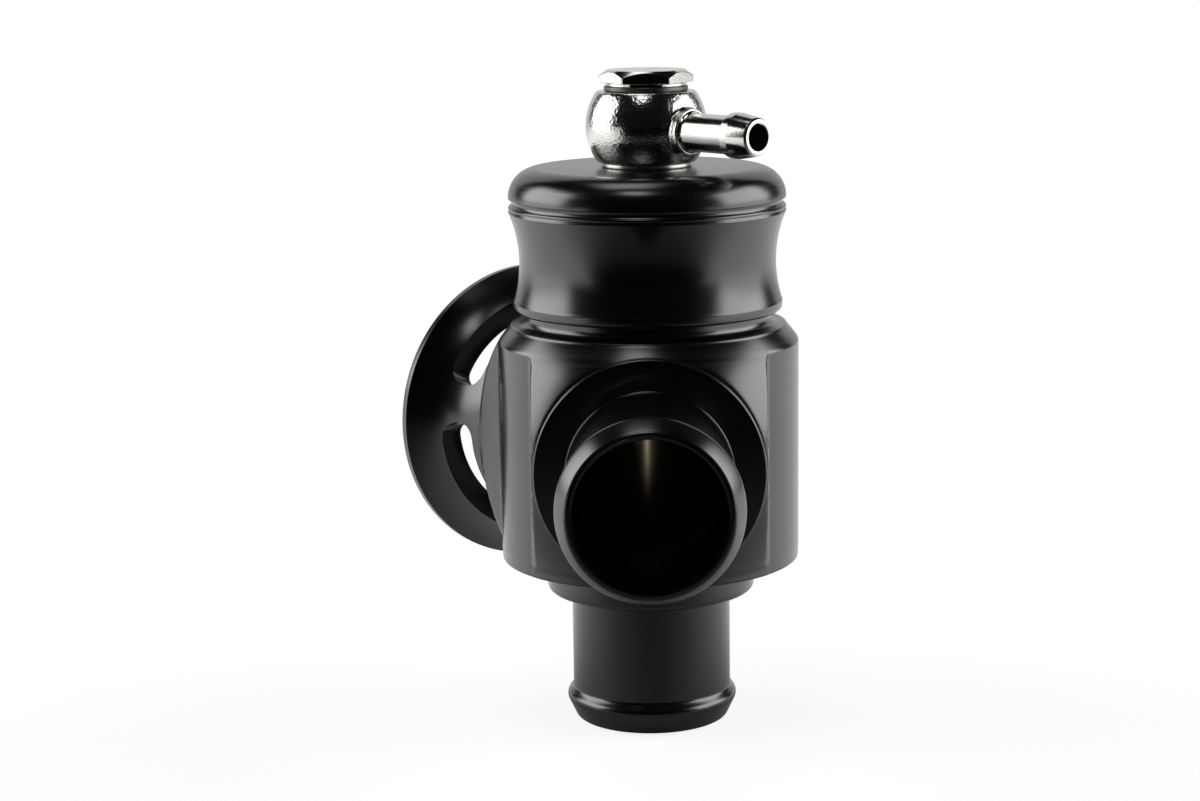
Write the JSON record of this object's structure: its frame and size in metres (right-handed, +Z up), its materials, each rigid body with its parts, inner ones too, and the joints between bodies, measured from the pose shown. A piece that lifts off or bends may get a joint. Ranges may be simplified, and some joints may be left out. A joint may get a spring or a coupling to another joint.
{
  "type": "blow off valve",
  "caption": "Sprung piston valve with a ball body, a beaded hose inlet, a hose outlet, a slotted trumpet and a banjo signal fitting on its cap.",
  "frame": {"origin": "centre of the inlet tail's end face", "axes": "+Z up the valve axis to the cap, -Y along the outlet, the trumpet behind and to the left"},
  "size_m": [0.0649, 0.0964, 0.104],
  "materials": {
    "black_anodised": "gloss black anodised, turned",
    "bronze_anodised": "hard anodised",
    "nickel": "nickel plated",
    "washer": "plain",
    "spring_steel": "bright",
    "rubber": "matt"
  },
  "bodies": {
    "body": {"body": "black_anodised", "cap": "black_anodised", "cap_seal": "rubber", "inlet_spigot": "black_anodised", "inlet_seal": "rubber", "outlet_spigot": "black_anodised", "outlet_seal": "rubber", "trumpet": "black_anodised", "trumpet_seal": "rubber", "spring": "spring_steel", "banjo_bolt": "nickel", "banjo_washer_upper": "washer", "banjo_washer_lower": "washer"},
    "piston": {"piston": "bronze_anodised", "piston_seal": "rubber", "seat_seal": "rubber"},
    "banjo": {"banjo_fitting": "nickel"}
  },
  "joints": [
    {"name": "piston_slide", "type": "slide", "parent": "body", "child": "piston", "axis": [0, 0, 1], "range_m": [0, 0.011], "stiffness_N_per_m": 2600, "springref_m": -0.012, "deforming": ["spring"]},
    {"name": "banjo_swivel", "type": "hinge", "parent": "body", "child": "banjo", "pos_m": [0, 0, 0.0953], "axis": [0, 0, 1], "continuous": true}
  ]
}
